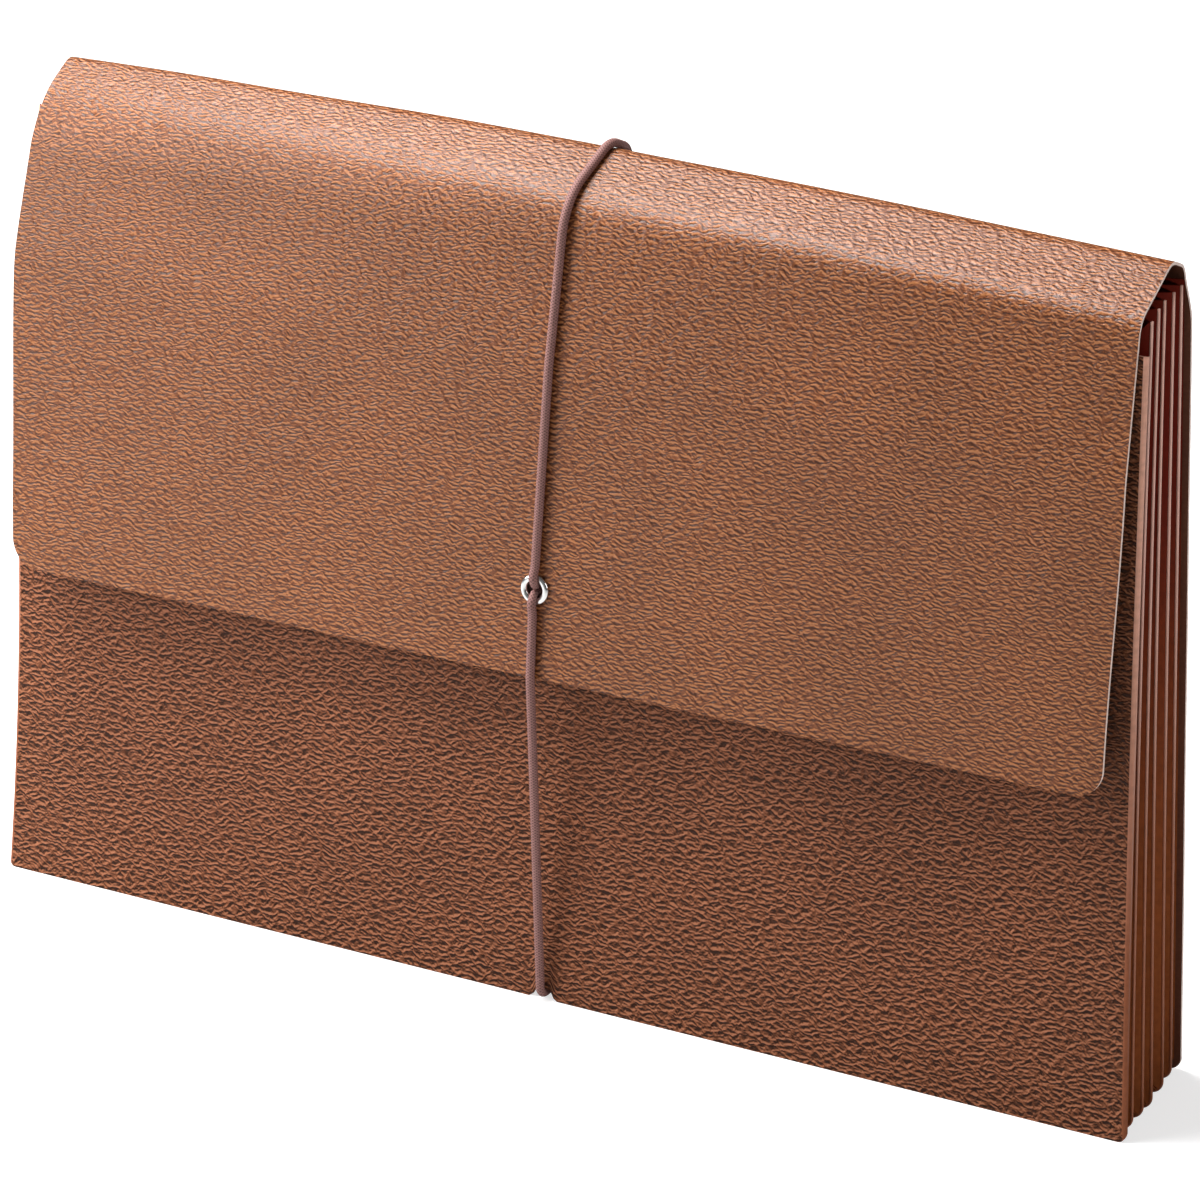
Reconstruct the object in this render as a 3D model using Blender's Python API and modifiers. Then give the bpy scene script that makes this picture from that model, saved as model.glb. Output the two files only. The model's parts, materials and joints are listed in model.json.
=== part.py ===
"""Expanding file wallet with a fold-over flap, pleated sides and an elastic cord.

Metres, +Z up. The front faces -Y, the width runs along X, and the wallet stands on z = 0.
The front panel leans back, so the pleats fan out from an axis above the upright back panel.
"""
from math import atan2, cos, pi, sin, sqrt, tan

import bmesh
import bpy
from mathutils import Matrix, Vector

# Cover sheet: back panel, front panel and flap
COVER_WIDTH = 0.381
COVER_THICK = 0.0009
BACK_TOP = 0.254            # height of the fold at the top of the back panel
FRONT_DROP = 0.015          # front panel's free edge below the top fold
DEPTH_BOTTOM = 0.047        # back panel to front panel at the floor
DEPTH_TOP = 0.0305          # the same at the height of the top fold
SCORE_INSET = 0.0005        # a sheet stops this far from each scored fold line
PANEL_CORNER = 0.0015

# Flap: a ridge behind the top, then folds at drops below the top fold and ahead of the front panel
RIDGE_FORWARD = 0.0085
RIDGE_RISE = 0.0045
FOLD_DROP = 0.005
FOLD_AHEAD = 0.0002
SHOULDER_DROP = 0.051
SHOULDER_AHEAD = 0.0057
FLAP_DROP = 0.147
FLAP_AHEAD = 0.0094
FLAP_INSET = 0.0025         # flap edge inside the panel's edge, each side
FLAP_CORNER = 0.009

# Pleats at the sides and bottom
PLEAT_SHARES = (0.16, 0.19, 0.22, 0.14, 0.16, 0.13)     # of the depth, from the back to the front
LEAF_WIDTH = 0.0111         # fold to fold, at the bottom
LEAF_THICK = 0.0004
LEAF_INSET = 0.0012         # a leaf stops this far from its fold lines
FOLD_RADIUS = 0.0005        # rounded outer fold between two pleats
FOLD_CORNER = 0.004         # radius of a pleat's fold at the lower corners
FOLD_INSET = 0.001          # outer folds inside the panels' side edges
FOLD_CLEAR = 0.0002         # panel face to its fold line
FLOOR_CLEAR = 0.0003
MITRE_CLEAR = 0.0003
GUSSET_DROP = 0.002         # pleats end this far below the top fold and the flap

# Eyelet in the flap
EYELET_HEIGHT = 0.0275      # above the flap's lower edge
EYELET_BORE = 0.0025
EYELET_WALL = 0.0004
EYELET_FLANGE = 0.0047
EYELET_DOME = 0.0010
EYELET_CLEAR = 0.0003
WASHER_THICK = 0.0006

# Elastic cord
CORD_RADIUS = 0.0014
CORD_GAP = 0.0003
CORD_END_GAP = 0.0002
NOTCH_SIDE = 0.0006         # notch wider than the cord, each side
THROAT_PROUD = 0.0008
KNOT_SIZE = (0.0062, 0.0056, 0.0042)

ROUND_STEPS = 24
CORNER_STEPS = 6
TUBE_STEPS = 2
WELD_DISTANCE = 0.00001


def colour(red, green, blue):
    """Turns a screen colour, 0 to 255, into the linear values that a shader takes."""
    return tuple((c / 255) ** 2.2 for c in (red, green, blue)) + (1.0,)


FINISHES = {
    "flap_leather": (colour(160, 100, 70), 0.45, 0.0),
    "panel_leather": (colour(120, 75, 50), 0.5, 0.0),
    "pleat_paper": (colour(92, 52, 40), 0.55, 0.0),
    "fold_paper": (colour(150, 100, 76), 0.5, 0.0),
    "eyelet_metal": (colour(200, 200, 200), 0.2, 1.0),
    "cord_braid": (colour(125, 95, 90), 0.8, 0.0),
}

# Depths count forward from the back panel's mid plane at the floor
CORD_OFFSET = COVER_THICK / 2 + CORD_GAP + CORD_RADIUS
LEAN = atan2(DEPTH_BOTTOM - DEPTH_TOP, BACK_TOP)
PLEAT_COUNT = len(PLEAT_SHARES)
FRONT_TOP = BACK_TOP - FRONT_DROP


def flap_corner(drop, ahead):
    """Depth and height of a flap fold, from its drop below the top and its reach ahead of the front panel."""
    height = BACK_TOP - drop
    return DEPTH_BOTTOM - height * tan(LEAN) + ahead, height


TOP_CORNER = (0.0, BACK_TOP)
RIDGE_CORNER = (RIDGE_FORWARD, BACK_TOP + RIDGE_RISE)
FOLD_LINE = flap_corner(FOLD_DROP, FOLD_AHEAD)
SHOULDER_LINE = flap_corner(SHOULDER_DROP, SHOULDER_AHEAD)
FLAP_EDGE = flap_corner(FLAP_DROP, FLAP_AHEAD)
DEPTH_MIDDLE = FLAP_EDGE[0] / 2

# Fan of fold planes between the panels, which meet on an axis along X above the wallet
PANEL_TO_FOLD = COVER_THICK / 2 + FOLD_CLEAR
FAN_DEPTH = PANEL_TO_FOLD
FAN_HEIGHT = (DEPTH_BOTTOM - PANEL_TO_FOLD / cos(LEAN) - FAN_DEPTH) / tan(LEAN)
FOLD_FLOOR = FOLD_RADIUS + FLOOR_CLEAR
FOLD_X = COVER_WIDTH / 2 - FOLD_INSET

# Cord under the bottom, and the notches that it lies in
CORD_FLOOR = CORD_RADIUS + FLOOR_CLEAR
NOTCH_TOP = CORD_FLOOR + CORD_RADIUS + CORD_GAP
NOTCH_HALF = CORD_RADIUS + NOTCH_SIDE
DENT_RISE = NOTCH_TOP + FOLD_RADIUS - FOLD_FLOOR
LEAF_NOTCH_HALF = NOTCH_HALF + DENT_RISE + FOLD_RADIUS + CORD_GAP


def place(depth, height, x=0.0):
    """World point for a depth forward of the back panel and a height above the floor."""
    return Vector((x, DEPTH_MIDDLE - depth, height))


def fold_angle(index):
    """Lean of fold plane index, from 0 at the back panel to PLEAT_COUNT at the front panel."""
    return LEAN * sum(PLEAT_SHARES[:index])


def fold_depth(index, height):
    return FAN_DEPTH + (FAN_HEIGHT - height) * tan(fold_angle(index))


def gusset_top(index):
    """Height of the pleats' top at a fold plane: just under the flap, or the front panel's own top."""
    if index == PLEAT_COUNT:
        return FRONT_TOP
    slope = (RIDGE_CORNER[1] - FOLD_LINE[1]) / (FOLD_LINE[0] - RIDGE_CORNER[0])
    under_flap = RIDGE_CORNER[1] - (fold_depth(index, BACK_TOP) - RIDGE_CORNER[0]) * slope
    return min(BACK_TOP, under_flap) - GUSSET_DROP


def corner_arc(first, last):
    """Inward reach and height of points that follow a fold's rounded lower corner at LEAF_INSET from it."""
    radius = FOLD_CORNER - LEAF_INSET
    turns = [first + (last - first) * step / CORNER_STEPS for step in range(CORNER_STEPS + 1)]
    return [(FOLD_CORNER - radius * cos(turn), FOLD_CORNER - radius * sin(turn)) for turn in turns]


def clear_scene():
    for item in list(bpy.data.objects):
        bpy.data.objects.remove(item, do_unlink=True)


def make_collection(name):
    collection = bpy.data.collections.new(name)
    bpy.context.scene.collection.children.link(collection)
    return collection


def make_material(name):
    base, roughness, metallic = FINISHES[name]
    material = bpy.data.materials.get(name) or bpy.data.materials.new(name)
    material.use_nodes = True
    shader = material.node_tree.nodes["Principled BSDF"]
    shader.inputs["Base Color"].default_value = base
    shader.inputs["Roughness"].default_value = roughness
    shader.inputs["Metallic"].default_value = metallic
    return material


def axes_matrix(origin, across, along):
    """Frame with local X across, local Y along and local Z square to both."""
    normal = across.cross(along)
    matrix = Matrix((across, along, normal)).transposed().to_4x4()
    matrix.translation = origin
    return matrix


def make_pivot(name, location):
    pivot = bpy.data.objects.new(name + "_pivot", None)
    pivot.location = location
    wallet.objects.link(pivot)
    return pivot


def add_object(name, data, material, matrix, pivot):
    item = bpy.data.objects.new(name, data)
    wallet.objects.link(item)
    item.data.materials.append(make_material(material))
    if pivot is not None:
        item.parent = pivot
        matrix = Matrix.Translation(-pivot.location) @ matrix
    item.matrix_local = matrix
    return item


def rounded(points, radii):
    """Outline with each corner replaced by an arc of its own radius, where that isn't 0."""
    outline = []
    count = len(points)
    for index, radius in enumerate(radii):
        corner = Vector(points[index])
        if radius == 0:
            outline.append(corner)
            continue
        back = (Vector(points[index - 1]) - corner).normalized()
        ahead = (Vector(points[(index + 1) % count]) - corner).normalized()
        half = back.angle(ahead) / 2
        centre = corner + (back + ahead).normalized() * radius / sin(half)
        start = corner + back * radius / tan(half) - centre
        sweep = start.angle_signed(corner + ahead * radius / tan(half) - centre)
        for arc_step in range(CORNER_STEPS + 1):
            turn = -sweep * arc_step / CORNER_STEPS
            outline.append(centre + Matrix.Rotation(turn, 2) @ start)
    return outline


def add_ring(curve, points):
    spline = curve.splines.new("POLY")
    spline.points.add(len(points) - 1)
    for point, (a, b) in zip(spline.points, points):
        point.co = (a, b, 0.0, 1.0)
    spline.use_cyclic_u = True


def add_plate(name, matrix, outline, thickness, material, pivot=None, holes=()):
    """Flat sheet: an outline in the frame's X and Y, with its mid plane at local Z = 0."""
    curve = bpy.data.curves.new(name, "CURVE")
    curve.dimensions = "2D"
    curve.fill_mode = "BOTH"
    curve.extrude = thickness / 2
    add_ring(curve, outline)
    for hole in holes:
        add_ring(curve, hole)
    return add_object(name, curve, material, matrix, pivot)


def add_tube(name, points, radius, material, pivot=None):
    curve = bpy.data.curves.new(name, "CURVE")
    curve.dimensions = "3D"
    curve.bevel_depth = radius
    curve.bevel_resolution = TUBE_STEPS
    curve.use_fill_caps = True
    spline = curve.splines.new("POLY")
    spline.points.add(len(points) - 1)
    origin = points[0] if pivot is None else pivot.location
    for point, position in zip(spline.points, points):
        point.co = (*(position - origin), 1.0)
    return add_object(name, curve, material, Matrix.Translation(origin), pivot)


def add_turned(name, profile, matrix, material, pivot):
    """Ring turned about local Z from a closed profile of (radius, height) points."""
    mesh = bpy.data.meshes.new(name)
    shape = bmesh.new()
    corners = [shape.verts.new((radius, 0.0, height)) for radius, height in profile]
    for index, corner in enumerate(corners):
        shape.edges.new((corners[index - 1], corner))
    shape.to_mesh(mesh)
    shape.free()
    item = add_object(name, mesh, material, matrix, pivot)
    screw = item.modifiers.new("turn", "SCREW")
    screw.steps = ROUND_STEPS
    screw.render_steps = ROUND_STEPS
    screw.use_merge_vertices = True
    screw.merge_threshold = WELD_DISTANCE
    return item


def notched_sheet(half_width, bottom, top, notch_top):
    """Panel outline with a cord notch in the middle of its lower edge."""
    points = [(-half_width, top), (-half_width, bottom), (-NOTCH_HALF, bottom), (-NOTCH_HALF, notch_top),
              (NOTCH_HALF, notch_top), (NOTCH_HALF, bottom), (half_width, bottom), (half_width, top)]
    corner = PANEL_CORNER
    return rounded(points, (0, corner, 0, 0, 0, 0, corner, 0))


def build_back_panel():
    """Upright sheet, which everything else hangs on."""
    matrix = axes_matrix(place(0.0, 0.0), Vector((1.0, 0.0, 0.0)), Vector((0.0, 0.0, 1.0)))
    outline = notched_sheet(COVER_WIDTH / 2, 0.0, BACK_TOP - SCORE_INSET, NOTCH_TOP)
    add_plate("back_panel", matrix, outline, COVER_THICK, "panel_leather")


def build_front_panel():
    """Leaning sheet that swings out about the fan's axis."""
    pivot = make_pivot("front_panel", place(FAN_DEPTH, FAN_HEIGHT))
    along = Vector((0.0, sin(LEAN), cos(LEAN)))
    matrix = axes_matrix(place(DEPTH_BOTTOM, 0.0), Vector((1.0, 0.0, 0.0)), along)
    bottom = COVER_THICK / 2 * tan(LEAN)
    outline = notched_sheet(COVER_WIDTH / 2, bottom, FRONT_TOP / cos(LEAN), NOTCH_TOP / cos(LEAN) + bottom)
    add_plate("front_panel", matrix, outline, COVER_THICK, "panel_leather", pivot)


def build_fold(index):
    """Rounded outer fold between two pleats: down one side, under the bottom, up the other."""
    pivot = make_pivot(f"pleat_fold_{index}", place(FAN_DEPTH, FAN_HEIGHT))
    dent = FOLD_FLOOR + DENT_RISE
    half = [(0.0, dent), (NOTCH_HALF, dent), (NOTCH_HALF + DENT_RISE, FOLD_FLOOR)]
    for arc_step in range(CORNER_STEPS // 2 + 1):
        turn = pi / CORNER_STEPS * arc_step
        half.append((FOLD_X - FOLD_CORNER * (1 - sin(turn)), FOLD_FLOOR + FOLD_CORNER * (1 - cos(turn))))
    half.append((FOLD_X, gusset_top(index)))
    route = [(-x, height) for x, height in reversed(half[1:])] + half
    points = [place(fold_depth(index, height), height, x) for x, height in route]
    add_tube(f"pleat_fold_{index}", points, FOLD_RADIUS, "fold_paper", pivot)


def pleat_shape(pleat):
    """Rear fold depth, front fold depth and inward reach of a pleat at its outer folds' foot."""
    rear = fold_depth(pleat - 1, FOLD_FLOOR)
    front = fold_depth(pleat, FOLD_FLOOR)
    reach = sqrt(LEAF_WIDTH ** 2 - ((front - rear) / 2) ** 2)
    return rear, front, reach


def build_side_leaf(name, pleat, fold, side):
    """Tapered leaf of a side pleat, from outer fold number fold to the pleat's inner fold."""
    rear, front, reach = pleat_shape(pleat)
    foot = place(fold_depth(fold, FOLD_FLOOR), FOLD_FLOOR, side * FOLD_X)
    inner = place((rear + front) / 2, FOLD_FLOOR, side * (FOLD_X - reach))
    along = place(FAN_DEPTH, FAN_HEIGHT, side * FOLD_X) - foot
    fan_length = along.length
    along.normalize()
    across = (inner - foot) - along * (inner - foot).dot(along)
    across.normalize()
    taper = (inner - foot).dot(across) / (fan_length - (inner - foot).dot(along))

    def height_line(height, slope):
        """Line along = a + b * across, where the leaf is at a height plus slope times its inward reach."""
        return (height - FOLD_FLOOR) / along.z, (slope * abs(across.x) - across.z) / along.z

    def inner_corner(line):
        start, slope = line
        width = (taper * (fan_length - start) - LEAF_INSET) / (1 + taper * slope)
        return width, start + slope * width

    def on_leaf(width, height):
        return width, (height - width * across.z) / along.z

    bottom = height_line(FOLD_FLOOR + MITRE_CLEAR, 1.0)
    inner_top = height_line((gusset_top(pleat - 1) + gusset_top(pleat)) / 2, 0.0)
    outline = [on_leaf(width, height + MITRE_CLEAR) for width, height in corner_arc(0.0, pi / 4)]
    outline += [inner_corner(bottom), inner_corner(inner_top), on_leaf(LEAF_INSET, gusset_top(fold) - FOLD_FLOOR)]
    pivot = make_pivot(name, foot)
    add_plate(name, axes_matrix(foot, across, along), outline, LEAF_THICK, "pleat_paper", pivot)


def build_bottom_leaf(name, pleat, fold):
    """Leaf of a bottom pleat, mitred at its ends, with a notch for the cord at its outer fold."""
    rear, front, reach = pleat_shape(pleat)
    foot = place(fold_depth(fold, FOLD_FLOOR), FOLD_FLOOR)
    across = place((rear + front) / 2, FOLD_FLOOR + reach) - foot
    across.normalize()
    notch = (NOTCH_TOP + LEAF_THICK - FOLD_FLOOR) / across.z
    inner = LEAF_WIDTH - LEAF_INSET

    side = LEAF_NOTCH_HALF
    right = [(side, notch), (side, LEAF_INSET)]
    right += [(FOLD_X - reach - MITRE_CLEAR, height) for reach, height in corner_arc(pi / 2, pi / 4)]
    right.append((FOLD_X - inner * across.z - MITRE_CLEAR, inner))
    outline = right + [(-x, width) for x, width in reversed(right)]
    pivot = make_pivot(name, foot)
    matrix = axes_matrix(foot, Vector((1.0, 0.0, 0.0)), across)
    add_plate(name, matrix, outline, LEAF_THICK, "pleat_paper", pivot)


def build_pleats():
    """Outer folds, then a rear and a front leaf for each pleat on both sides and the bottom."""
    for index in range(1, PLEAT_COUNT):
        build_fold(index)
    for pleat in range(1, PLEAT_COUNT + 1):
        for fold in (pleat - 1, pleat):
            number = pleat + fold
            build_side_leaf(f"right_leaf_{number:02d}", pleat, fold, 1)
            build_side_leaf(f"left_leaf_{number:02d}", pleat, fold, -1)
            build_bottom_leaf(f"bottom_leaf_{number:02d}", pleat, fold)


class Strip:
    """One flat stretch of the flap between two scored folds."""

    def __init__(self, name, start, end):
        self.name = name
        self.start = place(*start)
        self.along = place(*end) - self.start
        self.length = self.along.length
        self.along.normalize()
        self.outward = Vector((0.0, -self.along.z, self.along.y))
        if self.outward.dot(Vector((0.0, -1.0, 1.0))) < 0:
            self.outward.negate()
        self.pivot = make_pivot(name, self.start)

    def point(self, distance, offset):
        """Point at a distance down the strip, lifted off its mid plane to the outside."""
        return self.start + self.along * distance + self.outward * offset


def build_band(strip):
    half = COVER_WIDTH / 2 - FLAP_INSET
    start, end = SCORE_INSET, strip.length - SCORE_INSET
    outline = [(-half, start), (half, start), (half, end), (-half, end)]
    matrix = axes_matrix(strip.start, Vector((1.0, 0.0, 0.0)), strip.along)
    add_plate(strip.name, matrix, outline, COVER_THICK, "flap_leather", strip.pivot)


def build_flap_front(strip):
    """Lower flap with round corners and the eyelet's hole."""
    half = COVER_WIDTH / 2 - FLAP_INSET
    corners = [(-half, SCORE_INSET), (half, SCORE_INSET), (half, strip.length), (-half, strip.length)]
    outline = rounded(corners, (0, 0, FLAP_CORNER, FLAP_CORNER))
    centre = strip.length - EYELET_HEIGHT
    radius = EYELET_BORE + EYELET_WALL + EYELET_CLEAR
    turns = [2 * pi * index / ROUND_STEPS for index in range(ROUND_STEPS)]
    hole = [(radius * cos(turn), centre + radius * sin(turn)) for turn in turns]
    matrix = axes_matrix(strip.start, Vector((1.0, 0.0, 0.0)), strip.along)
    add_plate(strip.name, matrix, outline, COVER_THICK, "flap_leather", strip.pivot, [hole])


def build_flap():
    rear_band = Strip("top_band_rear", TOP_CORNER, RIDGE_CORNER)
    front_band = Strip("top_band_front", RIDGE_CORNER, FOLD_LINE)
    shoulder = Strip("flap_shoulder", FOLD_LINE, SHOULDER_LINE)
    flap_front = Strip("flap_front", SHOULDER_LINE, FLAP_EDGE)
    for band in (rear_band, front_band, shoulder):
        build_band(band)
    build_flap_front(flap_front)
    return rear_band, front_band, shoulder, flap_front


def build_eyelet(flap):
    """Domed ring with a barrel through the flap, and a washer on the inside."""
    outer = EYELET_BORE + EYELET_WALL
    face = COVER_THICK / 2 + EYELET_CLEAR
    inside = -face - WASHER_THICK
    dome = [(EYELET_FLANGE, face), (outer, face), (outer, inside), (EYELET_BORE, inside)]
    middle = (EYELET_FLANGE + EYELET_BORE) / 2
    reach = (EYELET_FLANGE - EYELET_BORE) / 2
    for arc_step in range(1, CORNER_STEPS):
        turn = pi * arc_step / CORNER_STEPS
        dome.append((middle - reach * cos(turn), face + EYELET_DOME * sin(turn)))
    washer_bore = outer + EYELET_CLEAR
    washer = [(EYELET_FLANGE, -face), (EYELET_FLANGE, inside), (washer_bore, inside), (washer_bore, -face)]
    centre = flap.point(flap.length - EYELET_HEIGHT, 0.0)
    matrix = axes_matrix(centre, Vector((1.0, 0.0, 0.0)), flap.outward.cross(Vector((1.0, 0.0, 0.0))))
    add_turned("eyelet", dome, matrix, "eyelet_metal", flap.pivot)
    add_turned("eyelet_washer", washer, matrix, "eyelet_metal", flap.pivot)
    return inside


def cord_run(name, strip, start, end):
    """Straight stretch of cord that lies on a strip of the flap."""
    points = [strip.point(start, CORD_OFFSET), strip.point(end, CORD_OFFSET)]
    add_tube(name, points, CORD_RADIUS, "cord_braid", strip.pivot)


def build_cord(strips, washer_inside):
    """Elastic loop from the eyelet over the top, down the back, under the bottom and up the front."""
    rear_band, front_band, shoulder, flap = strips
    eyelet_at = flap.length - EYELET_HEIGHT
    beside_eyelet = EYELET_FLANGE + CORD_GAP
    cord_run("cord_flap", flap, CORD_END_GAP, eyelet_at - beside_eyelet)
    for name, strip in (("cord_shoulder", shoulder), ("cord_top_front", front_band), ("cord_top_rear", rear_band)):
        cord_run(name, strip, CORD_END_GAP, strip.length - CORD_END_GAP)

    # Corners of the loop under the bottom
    upward = Vector((0.0, 0.0, 1.0))
    forward = Vector((0.0, -1.0, 0.0))
    rear_corner = place(-CORD_OFFSET, CORD_FLOOR)
    front_corner = place(DEPTH_BOTTOM + CORD_OFFSET, CORD_FLOOR)
    corner_gap = CORD_RADIUS + CORD_GAP
    fold_offset = CORD_RADIUS + CORD_GAP / 2

    # Front stretch: down the flap, over its lower edge and on to the floor
    flap_edge = flap.point(flap.length + CORD_GAP, CORD_OFFSET)
    eyelet_point = flap.point(eyelet_at, CORD_OFFSET)
    fall = (flap_edge - front_corner).normalized()
    front_points = [flap.point(eyelet_at + beside_eyelet, CORD_OFFSET), flap_edge, front_corner + fall * corner_gap]
    front_pivot = make_pivot("cord_front", flap.point(eyelet_at, CORD_OFFSET + fold_offset))
    add_tube("cord_front", front_points, CORD_RADIUS, "cord_braid", front_pivot)

    # The back stretch folds where both halves of the opened loop are equally long
    over_top = rear_band.length + front_band.length + shoulder.length + eyelet_at
    under = (rear_corner - front_corner).length + (front_corner - flap_edge).length
    under += (flap_edge - eyelet_point).length
    fold_height = (BACK_TOP + CORD_FLOOR + over_top - under) / 2
    back_fold = place(-CORD_OFFSET, fold_height)
    upper = [back_fold + upward * CORD_END_GAP, place(-CORD_OFFSET, BACK_TOP - CORD_END_GAP)]
    lower = [back_fold - upward * CORD_END_GAP, rear_corner + upward * corner_gap]
    bottom = [rear_corner + forward * corner_gap, front_corner - forward * corner_gap]
    add_tube("cord_back_upper", upper, CORD_RADIUS, "cord_braid")
    back_pivot = make_pivot("cord_back_lower", back_fold - forward * fold_offset)
    add_tube("cord_back_lower", lower, CORD_RADIUS, "cord_braid", back_pivot)
    add_tube("cord_bottom", bottom, CORD_RADIUS, "cord_braid", make_pivot("cord_bottom", rear_corner))

    # Both strands through the eyelet, and the knot behind the flap
    throat_radius = EYELET_BORE - EYELET_CLEAR
    front_face = COVER_THICK / 2 + EYELET_CLEAR + EYELET_DOME + THROAT_PROUD
    knot_face = washer_inside - CORD_GAP
    throat = [flap.point(eyelet_at, front_face), flap.point(eyelet_at, knot_face + CORD_GAP / 2)]
    add_tube("cord_throat", throat, throat_radius, "cord_braid", flap.pivot)
    mesh = bpy.data.meshes.new("cord_knot")
    shape = bmesh.new()
    bmesh.ops.create_uvsphere(shape, u_segments=ROUND_STEPS // 2, v_segments=ROUND_STEPS // 3, radius=0.5)
    bmesh.ops.scale(shape, vec=KNOT_SIZE, verts=shape.verts)
    shape.to_mesh(mesh)
    shape.free()
    centre = flap.point(eyelet_at, knot_face - KNOT_SIZE[2] / 2)
    matrix = axes_matrix(centre, Vector((1.0, 0.0, 0.0)), flap.outward.cross(Vector((1.0, 0.0, 0.0))))
    add_object("cord_knot", mesh, "cord_braid", matrix, flap.pivot)


clear_scene()
wallet = make_collection("file_wallet")
build_back_panel()
build_front_panel()
build_pleats()
flap_strips = build_flap()
build_cord(flap_strips, build_eyelet(flap_strips[-1]))
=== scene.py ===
import json
import math

import bpy
from mathutils import Matrix, Vector, noise


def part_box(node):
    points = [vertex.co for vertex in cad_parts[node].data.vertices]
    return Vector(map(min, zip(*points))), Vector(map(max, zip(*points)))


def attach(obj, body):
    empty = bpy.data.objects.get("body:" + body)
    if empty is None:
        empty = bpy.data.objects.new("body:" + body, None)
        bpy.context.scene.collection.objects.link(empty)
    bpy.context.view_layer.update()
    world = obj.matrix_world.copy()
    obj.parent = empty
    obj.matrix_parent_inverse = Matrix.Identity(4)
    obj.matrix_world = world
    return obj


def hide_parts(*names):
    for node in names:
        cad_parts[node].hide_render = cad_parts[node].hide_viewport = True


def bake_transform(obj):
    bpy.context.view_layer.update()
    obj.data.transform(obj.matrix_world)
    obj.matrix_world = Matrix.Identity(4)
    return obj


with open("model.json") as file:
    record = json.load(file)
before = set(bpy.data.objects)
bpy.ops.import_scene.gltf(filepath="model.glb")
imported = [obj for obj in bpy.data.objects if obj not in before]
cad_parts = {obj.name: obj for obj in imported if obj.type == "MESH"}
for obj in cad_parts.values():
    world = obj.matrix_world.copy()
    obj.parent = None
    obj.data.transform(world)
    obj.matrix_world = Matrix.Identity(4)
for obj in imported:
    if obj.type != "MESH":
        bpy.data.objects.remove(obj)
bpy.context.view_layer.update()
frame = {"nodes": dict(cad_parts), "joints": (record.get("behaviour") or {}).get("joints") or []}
joints = {joint["name"]: joint for joint in frame["joints"]}
print("frame loaded")


def jointPlace(name):
    return Vector(joints[name]["pos_m"])


def flat(place):
    return Vector((place[1], place[2]))


def solid(place, x=0.0):
    return Vector((x, place.x, place.y))


def midway(first, second):
    return (first + second) / 2.0


def smoothStep(low, high, value):
    share = min(1.0, max(0.0, (value - low) / (high - low)))
    return share * share * (3.0 - 2.0 * share)


flapLow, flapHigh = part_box("flap_front")
backLow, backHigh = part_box("back_panel")
frontLow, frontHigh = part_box("front_panel")
eyeletLow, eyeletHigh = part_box("eyelet")
foldPlaces = [flat(jointPlace(name)) for name in ("flap_open", "band_bend", "shoulder_bend", "flap_bend")]
white = (1.0, 1.0, 1.0, 1.0)


def screenColour(red, green, blue):
    def linear(level):
        level = level / 255.0
        return level / 12.92 if level <= 0.04045 else ((level + 0.055) / 1.055) ** 2.4
    return (linear(red), linear(green), linear(blue), 1.0)


class NodeGraph:
    # short way to add nodes to a tree and link them
    def __init__(self, tree):
        self.nodes = tree.nodes
        self.links = tree.links

    def put(self, socket, value):
        if isinstance(value, bpy.types.NodeSocket):
            self.links.new(value, socket)
        else:
            socket.default_value = value

    def add(self, kind, values=None, **options):
        node = self.nodes.new(kind)
        for option, value in options.items():
            setattr(node, option, value)
        for socket, value in (values or {}).items():
            self.put(node.inputs[socket], value)
        return node

    def math(self, operation, first, second=0.0):
        return self.add("ShaderNodeMath", {0: first, 1: second}, operation=operation).outputs[0]


class Finish(NodeGraph):
    # the nodes of one material
    def __init__(self, name):
        self.material = bpy.data.materials.new(name)
        self.material.use_nodes = True
        super().__init__(self.material.node_tree)
        self.shader = self.nodes["Principled BSDF"]

    def place(self):
        return self.add("ShaderNodeUVMap", uv_map="sheet").outputs["UV"]

    def vector(self, operation, first, second):
        socket = "Scale" if operation == "SCALE" else 1
        return self.add("ShaderNodeVectorMath", {0: first, socket: second}, operation=operation).outputs[0]

    def noise(self, place, scale, detail=2.0):
        return self.add("ShaderNodeTexNoise", {"Vector": place, "Scale": scale, "Detail": detail})

    def ramp(self, value, low, high, toLow=0.0, toHigh=1.0):
        values = {"Value": value, "From Min": low, "From Max": high, "To Min": toLow, "To Max": toHigh}
        return self.add("ShaderNodeMapRange", values, interpolation_type="SMOOTHSTEP").outputs["Result"]

    def mix(self, share, first, second, blend="MIX"):
        node = self.add("ShaderNodeMix", data_type="RGBA", blend_type=blend)
        for index, value in ((0, share), (6, first), (7, second)):
            self.put(node.inputs[index], value)
        return node.outputs[2]

    def shaded(self, colour, level):
        grey = self.add("ShaderNodeCombineColor", {0: level, 1: level, 2: level}).outputs[0]
        return self.mix(1.0, colour, grey, "MULTIPLY")

    def finish(self, **values):
        for name, value in values.items():
            self.put(self.shader.inputs[name.replace("_", " ")], value)
        return self.material


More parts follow.
